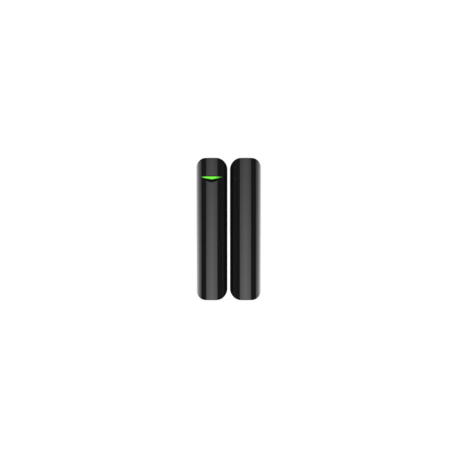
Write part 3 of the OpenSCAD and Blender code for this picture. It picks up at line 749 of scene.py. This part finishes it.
def add_box(bm, x, z, back, front, edge=0.03 * MM):
    """Box with broken edges, by its x and z spans, between two depths."""
    low, high = Vector((x[0], front, z[0])), Vector((x[1], back, z[1]))
    place = Matrix.Translation((low + high) / 2) @ Matrix.Diagonal((*(high - low), 1))
    verts = bmesh.ops.create_cube(bm, size=1, matrix=place)["verts"]
    edges = list({e for v in verts for e in v.link_edges})
    bmesh.ops.bevel(bm, geom=edges, offset=min(edge, 0.3 * min(high - low)), segments=2, profile=0.5,
                    affect="EDGES", clamp_overlap=True)


def add_dome(bm, x, z, y, r, height):
    """Solder cone with a hollowed flank on the board, rising towards -Y, or +Y if height is negative."""
    sides, rings = 14, []
    for t in (0, 0.15, 0.35, 0.6, 0.8, 0.95):
        ring_r = r * (1 - t) ** 1.6 + 0.28 * r * (1 - t ** 3)
        ring_y = y - height * (1.05 * t - 0.05)
        rings.append([bm.verts.new((x + ring_r * math.cos(a), ring_y, z + ring_r * math.sin(a)))
                      for a in (2 * math.pi * i / sides for i in range(sides))])
    skin(bm, rings)


def add_strip(bm, points, width, y, height):
    """Flat track with mitred bends along (x, z) points, in mm, on the board's face at y."""
    path = [Vector(p) * MM for p in points]
    lefts, rights = [], []
    for i, p in enumerate(path):
        before = (p - path[i - 1]).normalized() if i else (path[1] - p).normalized()
        after = (path[i + 1] - p).normalized() if i < len(path) - 1 else before
        along = (before + after).normalized()
        reach = width / 2 / max(along.dot(before), 0.5)
        across = Vector((-along.y, along.x)) * reach
        lefts.append(p + across)
        rights.append(p - across)
    skin(bm, [[bm.verts.new((q.x, depth, q.y)) for q, depth in
               ((a, y), (a * 0.88 + b * 0.12, y - height), (b * 0.88 + a * 0.12, y - height), (b, y))]
              for a, b in zip(lefts, rights)])


def add_land(bm, x, z, r, sides=16):
    """Round pad with a dimple, by its place and radius in mm."""
    rings = []
    for ring_r, lift in ((r, 0.0), (r, 0.05), (0.86 * r, 0.07), (0.45 * r, 0.07), (0.38 * r, 0.03)):
        rings.append([bm.verts.new((x * MM + ring_r * MM * math.cos(a), ROOT_FRONT - lift * MM,
                                    z * MM + ring_r * MM * math.sin(a)))
                      for a in (2 * math.pi * i / sides for i in range(sides))])
    skin(bm, rings)


def ends_of(low, high, out, inward):
    """The two spans that lap a part's ends, reaching out past them and inward over them."""
    return (low - out, low + inward), (high - inward, high + out)


def end_caps(bm, low, high, cap, proud, height):
    """Metal caps on both z ends of a chip."""
    grow = 0.02 * MM
    for z in ends_of(low.z, high.z, proud, cap):
        add_box(bm, (low.x - grow, high.x + grow), z, ROOT_FRONT, BOARD_FRONT - height)


def row_of_pins(bm, low, high, count, width, proud, height):
    """Pins on all four sides of a square package."""
    middle = (low + high) / 2
    bare_corners, root = 0.7 * MM, 0.15 * MM
    pitch = (high.x - low.x - bare_corners) / (count - 1)
    for i in range(count):
        shift = (i - (count - 1) / 2) * pitch
        along_x = (middle.x + shift - width / 2, middle.x + shift + width / 2)
        along_z = (middle.z + shift - width / 2, middle.z + shift + width / 2)
        for side in (0, 1):
            x = ends_of(low.x, high.x, proud, root)[side]
            z = ends_of(low.z, high.z, proud, root)[side]
            add_box(bm, x, along_z, ROOT_FRONT, BOARD_FRONT - height)
            add_box(bm, along_x, z, ROOT_FRONT, BOARD_FRONT - height)


def solder_parts(bm, chips):
    """End caps, pins and joints of the parts on the board's front."""
    for low, high in chips:
        end_caps(bm, low, high, cap=0.3 * MM, proud=0.03 * MM, height=0.72 * MM)
    end_caps(bm, *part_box("tantalum_capacitor"), cap=0.2 * MM, proud=0.16 * MM, height=0.7 * MM)
    end_caps(bm, *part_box("crystal"), cap=0.1 * MM, proud=0.14 * MM, height=0.12 * MM)
    row_of_pins(bm, *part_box("microcontroller"), count=7, width=0.26 * MM, proud=0.17 * MM, height=0.22 * MM)

    led_low, led_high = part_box("status_led")
    inset, led_joint = 0.2 * MM, 0.3 * MM
    for x in ends_of(led_low.x, led_high.x, 0.25 * MM, inset):
        add_box(bm, x, (led_low.z + inset, led_high.z - inset), ROOT_FRONT, BOARD_FRONT - led_joint)

    low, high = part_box("radio_shield")
    joints, half_w, half_l, shield_joint = 5, 0.14 * MM, 0.6 * MM, 0.28 * MM
    for x in ends_of(low.x, high.x, half_w, half_w):
        for i in range(joints):
            z = low.z + (i + 0.5) / joints * (high.z - low.z)
            add_box(bm, x, (z - half_l, z + half_l), ROOT_FRONT, BOARD_FRONT - shield_joint, edge=0.09 * MM)


def solder_leads(bm):
    """Solder cones on the leads that pass through the board."""
    tube_low, tube_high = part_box("reed_glass_tubes")
    lead_r, wire_r, insulated_r, cone_r = 0.25 * MM, 0.35 * MM, 0.5 * MM, 0.75 * MM
    for low, high in solids("reed_fixed_leads"):
        if high.y > BOARD_FRONT - 0.1 * MM:
            lower = low.z < (tube_low.z + tube_high.z) / 2
            z = low.z + lead_r if lower else high.z - lead_r
            add_dome(bm, (low.x + high.x) / 2, z, ROOT_FRONT, 0.62 * MM, 0.6 * MM)
    low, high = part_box("antenna_coil")
    add_dome(bm, high.x - wire_r, low.z + wire_r, ROOT_FRONT, cone_r, 0.8 * MM)
    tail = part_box("positive_contact")[1]
    add_dome(bm, tail.x - 0.4 * MM, tail.z - 0.15 * MM, ROOT_FRONT, cone_r, 0.4 * MM)
    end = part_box("negative_lead")[1]
    add_dome(bm, end.x - insulated_r, end.z - insulated_r, ROOT_BACK, cone_r, -0.7 * MM)


def switch_legs(bm, node, inset):
    """Four soldered legs of a switch on the board's back."""
    low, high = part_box(node)
    half_w, leg_h = 0.3 * MM, 0.22 * MM
    for z in (low.z + inset, high.z - inset):
        for x in ends_of(low.x, high.x, 0.55 * MM, 0.1 * MM):
            add_box(bm, x, (z - half_w, z + half_w), BOARD_BACK + leg_h, ROOT_BACK)


chips = solids("ceramic_parts")
bm = bmesh.new()
solder_parts(bm, chips)
solder_leads(bm)
switch_legs(bm, "tamper_switch_body", 0.9 * MM)
switch_legs(bm, "power_switch_body", 0.7 * MM)
finish_piece("board_solder", bm, "sensor_base", "tinned_steel")

# Tracks under the solder mask, by points (x, z) in mm
FRONT_TRACKS = [
    [(3.9, 29.4), (4.5, 29.4), (4.5, 31.6), (3.4, 32.7), (1.9, 32.7)],
    [(3.9, 28.3), (5.0, 28.3), (5.4, 28.0)],
    [(3.9, 27.2), (4.7, 27.2), (5.4, 26.5)],
    [(3.9, 26.6), (4.4, 26.1), (4.4, 25.2), (4.0, 24.8)],
    [(3.0, 25.7), (3.0, 23.6), (3.9, 22.7), (3.9, 22.1)],
    [(2.2, 25.6), (2.2, 23.0), (3.0, 22.2)],
    [(-0.7, 27.8), (-3.3, 27.8), (-4.4, 28.9), (-4.4, 30.2)],
    [(-0.7, 26.7), (-2.2, 26.7), (-4.0, 24.9), (-4.0, 21.5), (-1.4, 18.9), (-1.2, 16.9)],
    [(0.1, 25.7), (-0.2, 23.6), (-0.2, 21.0), (0.8, 20.0), (0.8, 7.0)],
    [(0.6, 24.2), (0.6, 21.8), (1.5, 20.9), (1.5, 4.8), (0.8, 4.1)],
    [(6.0, 4.0), (6.0, 2.4), (5.2, 2.4)],
    [(3.0, 4.0), (2.4, 4.0), (2.0, 4.4), (2.0, 21.0), (2.6, 21.6)],
    [(-6.6, 25.2), (-6.6, 17.4), (-5.6, 16.4), (-5.6, 15.3)],
    [(-6.0, 29.3), (-6.0, 30.1)],
    [(-3.6, 3.9), (-3.6, 2.6), (-2.8, 1.8), (2.6, 1.8), (3.3, 2.5)],
    [(-1.8, 31.1), (-1.8, 32.2), (-3.0, 33.4)],
    [(0.2, 30.2), (0.2, 31.0), (-0.8, 32.0), (-1.4, 32.3)],
    [(5.4, 23.4), (5.4, 21.0), (4.4, 20.0), (4.4, 6.4)],
]
TRACK_W = 0.24 * MM
TRACK_H = 0.05 * MM
bm = bmesh.new()
for points in FRONT_TRACKS:
    add_strip(bm, points, TRACK_W, ROOT_FRONT, TRACK_H)
masked = plastic("masked_copper", (0.014, 0.105, 0.045), (0.02, 0.14, 0.06), (0.26, 0.38), 1800, 0.004,
                 Coat_Weight=0.4, Coat_Roughness=0.12)
finish_piece("board_tracks", bm, "sensor_base", "board", masked)

# Test pads and vias, by (x, z, radius) in mm
LANDS = [(-6.4, 22.8, 0.45), (-5.2, 22.8, 0.45), (-6.4, 21.4, 0.45), (-5.2, 21.4, 0.45), (-3.0, 33.4, 0.3),
         (1.9, 32.7, 0.3), (0.8, 7.0, 0.22), (3.9, 22.1, 0.22), (-0.2, 22.2, 0.22), (4.5, 30.4, 0.22),
         (-6.6, 18.8, 0.22), (-2.8, 1.8, 0.22), (4.4, 12.8, 0.22), (0.8, 14.0, 0.22), (1.5, 10.2, 0.22),
         (4.5, 34.2, 0.55), (3.0, 34.2, 0.55), (1.5, 34.2, 0.55), (0.0, 34.2, 0.55), (-1.5, 34.2, 0.55)]
bm = bmesh.new()
for x, z, r in LANDS:
    add_land(bm, x, z, r)
gold = metal("gilt_pad", (0.62, 0.42, 0.14), (0.78, 0.55, 0.22), (0.2, 0.36), scale=2600)
finish_piece("board_pads", bm, "sensor_base", "copper", gold)


def add_mark(bm, low, high, grow):
    """Printed lines beside a part, and above and below it too if it is a large one."""
    line, ink_h, end_ink_h, large = 0.12 * MM, 0.015 * MM, 0.014 * MM, 2 * MM
    x, z = (low.x - grow, high.x + grow), (low.z - grow, high.z + grow)
    for side in x:
        add_box(bm, (side - line / 2, side + line / 2), z, ROOT_FRONT, BOARD_FRONT - ink_h)
    if high.z - low.z > large:
        for end in z:
            add_box(bm, x, (end - line / 2, end + line / 2), ROOT_FRONT, BOARD_FRONT - end_ink_h)


bm = bmesh.new()
for node in ("microcontroller", "crystal", "tantalum_capacitor"):
    add_mark(bm, *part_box(node), grow=0.42 * MM)
for low, high in chips:
    add_mark(bm, low, high, grow=0.22 * MM)
ink = plastic("board_ink", (0.55, 0.56, 0.54), (0.68, 0.69, 0.67), (0.5, 0.62), 3000, 0.006)
finish_piece("board_marks", bm, "sensor_base", "label", ink)


# ---- Camera, light and floor ---------------------------------------------------------------

CAMERA_DISTANCE = 445 * MM
VIEW_WIDTH = 295.9 * MM        # across the picture, at the fronts' axes
VIEW_SHIFT = 0.2 * MM          # of the camera towards the magnet
FILM_WIDTH = 36                # Blender's own, in mm
CLIP_START = 10 * MM

camera_data = bpy.data.cameras.new("camera")
camera_data.lens = FILM_WIDTH * CAMERA_DISTANCE / VIEW_WIDTH
camera = bpy.data.objects.new("camera", camera_data)
scene.collection.objects.link(camera)
camera.location = (MAGNET_X / 2 + VIEW_SHIFT, AXIS_Y - CAMERA_DISTANCE, 0)
camera.rotation_euler = (math.pi / 2, 0, 0)
camera_data.clip_start = CLIP_START
scene.camera = camera
scene.view_settings.view_transform = "Standard"

FLOOR_HALF = 4                 # metres
FLOOR_DROP = 0.4 * MM          # below the pods' lower ends

bm = bmesh.new()
bmesh.ops.create_grid(bm, x_segments=1, y_segments=1, size=FLOOR_HALF)
floor = object_from_bmesh("floor", bm)
floor.location = (0, 0, -HALF_L - FLOOR_DROP)
floor_look = Look("pale_floor")
floor_look.set(Roughness=0.9, Specular_IOR_Level=0.0, Emission_Strength=0.95)
floor_look.shader.inputs["Base Color"].default_value = (0.25, 0.25, 0.25, 1)
floor_look.shader.inputs["Emission Color"].default_value = (1, 1, 1, 1)
floor.data.materials.append(floor_look.material)
floor.visible_glossy = False


def build_world():
    """A soft panel before the fronts, dark to its sides, and white beyond, to the sides and behind."""
    world = bpy.data.worlds.new("studio")
    scene.world = world
    world.use_nodes = True
    t = Tree(world.node_tree)
    t.tree.nodes.clear()

    def product(*values):
        result = values[0]
        for value in values[1:]:
            result = t.calc("MULTIPLY", result, value)
        return result

    # Where a ray goes, in degrees: side from straight ahead of the fronts, and rise above level
    direction = t.add("SeparateXYZ", {"Vector": t.add("TexCoord").outputs["Generated"]})
    x, y, z = (direction.outputs[i] for i in range(3))
    panel_shift = 0.008
    degrees = 180 / math.pi
    aside = t.calc("ABSOLUTE", t.calc("ADD", x, panel_shift))
    side = t.calc("ARCTAN2", aside, t.calc("MULTIPLY", y, -1.0))
    side = t.calc("MULTIPLY", side, degrees)
    rise = t.calc("MULTIPLY", t.calc("ARCSINE", z), degrees)

    # The panel ahead: its side edges, its fall from the middle, its lower and upper edges, and its lower glow
    across = t.ramp(side, 40.7, 43.1, 1.0, 0.0)
    falloff = t.ramp(side, 0.0, 48.0, 1.0, 0.62)
    height = product(t.ramp(rise, -42.0, -32.0, 0.0, 1.0), t.ramp(rise, 22.0, 30.0, 1.0, 0.0))
    lift = product(t.ramp(rise, -9.0, 12.0, 2.75, 1.0), t.ramp(rise, -24.0, -10.0, 0.3, 1.0))
    panel = product(product(across, falloff), product(height, lift))

    # The white room: from the sides on, brightest past them, and dimmer straight behind, above and below
    back = t.ramp(side, 83.0, 86.0, 0.0, 1.0)
    glow = product(t.ramp(side, 86.0, 128.0, 0.93, 1.95), t.ramp(side, 140.0, 168.0, 1.0, 0.5))
    room = product(back, glow, t.ramp(rise, -9.0, 9.0, 1.56, 0.82))
    room = product(room, product(t.ramp(rise, -28.0, -9.0, 0.35, 1.0), t.ramp(rise, 9.0, 28.0, 1.0, 0.35)))

    # The ceiling, and the faint light from everywhere else
    over = t.ramp(rise, 52.0, 66.0, 0.0, 0.75)
    dark = 0.05
    total = t.calc("ADD", t.calc("ADD", panel, t.calc("MAXIMUM", room, over)), dark)

    # The camera sees plain white
    seen = t.add("LightPath").outputs["Is Camera Ray"]
    shown = t.add("Mix", {0: seen, 2: total, 3: 1.0}, data_type="FLOAT").outputs[0]
    background = t.add("Background", {"Color": (1, 1, 1, 1), "Strength": shown})
    t.add("OutputWorld", {"Surface": background.outputs[0]})


build_world()
